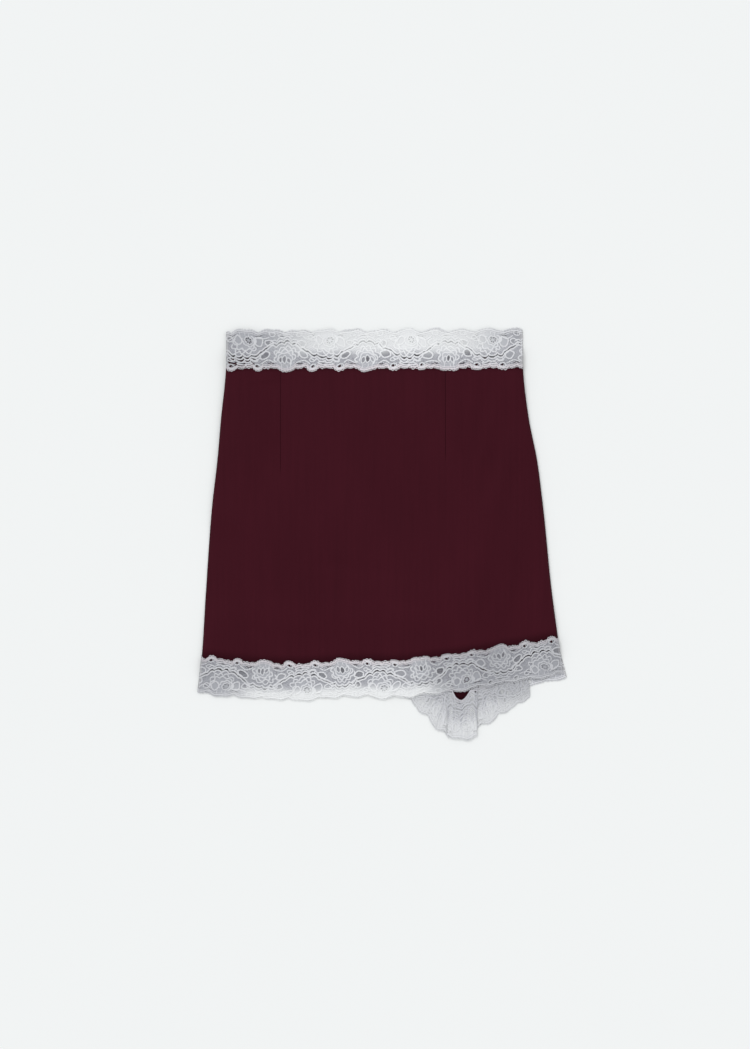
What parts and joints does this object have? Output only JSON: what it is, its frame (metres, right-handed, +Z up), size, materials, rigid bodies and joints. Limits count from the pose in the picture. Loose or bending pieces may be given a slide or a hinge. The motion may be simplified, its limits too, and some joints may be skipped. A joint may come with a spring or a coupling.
{
  "type": "mini skirt",
  "caption": "Satin mini skirt laid flat, with a scalloped lace band at waist and hem and an inner brief whose lace tip hangs below the front hem.",
  "frame": {"origin": "under the middle of the skirt's outline, on the surface it lies on", "axes": "+Y from the hem up to the waist, +Z up out of the front, +X to the right as the front is seen from above"},
  "size_m": [0.4253, 0.4684, 0.0078],
  "materials": {
    "satin": "dark burgundy polyester satin, smooth face out, soft low sheen",
    "lace": "white galloon lace: corded flowers and waved lines on a fine net, both edges scalloped",
    "zip_tape": "dark burgundy woven tape of a concealed zip, matte"
  },
  "bodies": {
    "root": {"front_panel": "satin", "back_panel": "satin", "waist_lace_front": "lace", "waist_lace_back": "lace", "hem_lace_front": "lace", "hem_lace_back": "lace", "zip_tape": "zip_tape", "brief_body": "satin", "brief_lace_left": "lace", "brief_lace_right": "lace", "brief_lace_crotch": "lace"}
  },
  "joints": []
}
